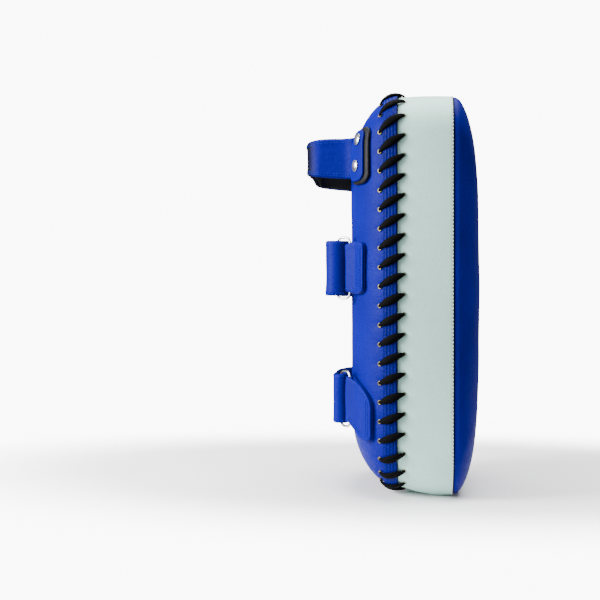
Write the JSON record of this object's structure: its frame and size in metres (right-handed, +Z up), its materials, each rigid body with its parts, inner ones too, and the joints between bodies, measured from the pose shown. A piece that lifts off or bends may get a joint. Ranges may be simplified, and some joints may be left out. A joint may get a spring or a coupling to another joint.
{
  "type": "thai pad",
  "caption": "Forearm kicking pad: crowned leather striking face, pale gusset, laced domed back, grip handle and two hook-and-loop forearm straps with steel rings.",
  "frame": {"origin": "middle of the flat bottom of the gusset, halfway through the gusset's depth", "axes": "+Z up along the pad's length, -Y the way the striking face looks, +Y the handle and straps, +X the side where the straps are sewn down"},
  "size_m": [0.2105, 0.1769, 0.4066],
  "materials": {
    "blue_leather": "smooth semi-gloss royal blue, fine grain",
    "hem_leather": "doubled blue hem, rows of stitching",
    "pale_leather": "smooth pale grey, satin",
    "black_leather": "matt black",
    "lace_cord": "black braided lace",
    "loop_tape": "black loop tape",
    "hook_tape": "black hook tape",
    "steel": "bright nickel plated",
    "foam": "closed-cell foam",
    "board": "pressed board"
  },
  "bodies": {
    "pad": {"striking_cover": "blue_leather", "front_foam": "foam", "core_foam": "foam", "stiffening_board": "board", "back_foam": "foam", "gusset_band": "pale_leather", "gusset_join_strip": "pale_leather", "handle_underlay_left": "black_leather", "handle_tab_left": "blue_leather", "handle_rivet_left_1": "steel", "handle_rivet_left_2": "steel", "handle_underlay_right": "black_leather", "handle_tab_right": "blue_leather", "handle_rivet_right_1": "steel", "handle_rivet_right_2": "steel", "back_cover": "blue_leather", "back_hem_band": "hem_leather", "lace": "lace_cord", "upper_strap": "blue_leather", "upper_anchor_patch": "blue_leather", "upper_loop_patch": "loop_tape", "upper_ring_tab": "blue_leather", "lower_strap": "blue_leather", "lower_anchor_patch": "blue_leather", "lower_loop_patch": "loop_tape", "lower_ring_tab": "blue_leather"},
    "handle": {"handle_loop": "blue_leather", "handle_core": "board", "handle_lining": "black_leather"},
    "upper_ring": {"upper_ring": "steel"},
    "upper_flap": {"upper_flap": "blue_leather", "upper_hook_patch": "hook_tape"},
    "lower_ring": {"lower_ring": "steel"},
    "lower_flap": {"lower_flap": "blue_leather", "lower_hook_patch": "hook_tape"}
  },
  "joints": [
    {"name": "handle_tilt", "type": "hinge", "parent": "pad", "child": "handle", "pos_m": [0, 0.081, 0.34], "axis": [1, 0, 0], "range_deg": [-10, 10], "stiffness_Nm_per_rad": 0.5},
    {"name": "upper_ring_swivel", "type": "hinge", "parent": "pad", "child": "upper_ring", "pos_m": [-0.06, 0.0752, 0.229], "axis": [0, 0, 1], "range_deg": [-10, 4]},
    {"name": "upper_flap_peel", "type": "hinge", "parent": "pad", "child": "upper_flap", "pos_m": [-0.0453, 0.1015, 0.229], "axis": [0, 0, 1], "range_deg": [0, 150]},
    {"name": "lower_ring_swivel", "type": "hinge", "parent": "pad", "child": "lower_ring", "pos_m": [-0.06, 0.0752, 0.096], "axis": [0, 0, 1], "range_deg": [-2, 1.5]},
    {"name": "lower_flap_peel", "type": "hinge", "parent": "pad", "child": "lower_flap", "pos_m": [-0.0453, 0.0937, 0.096], "axis": [0, 0, 1], "range_deg": [0, 150]}
  ]
}
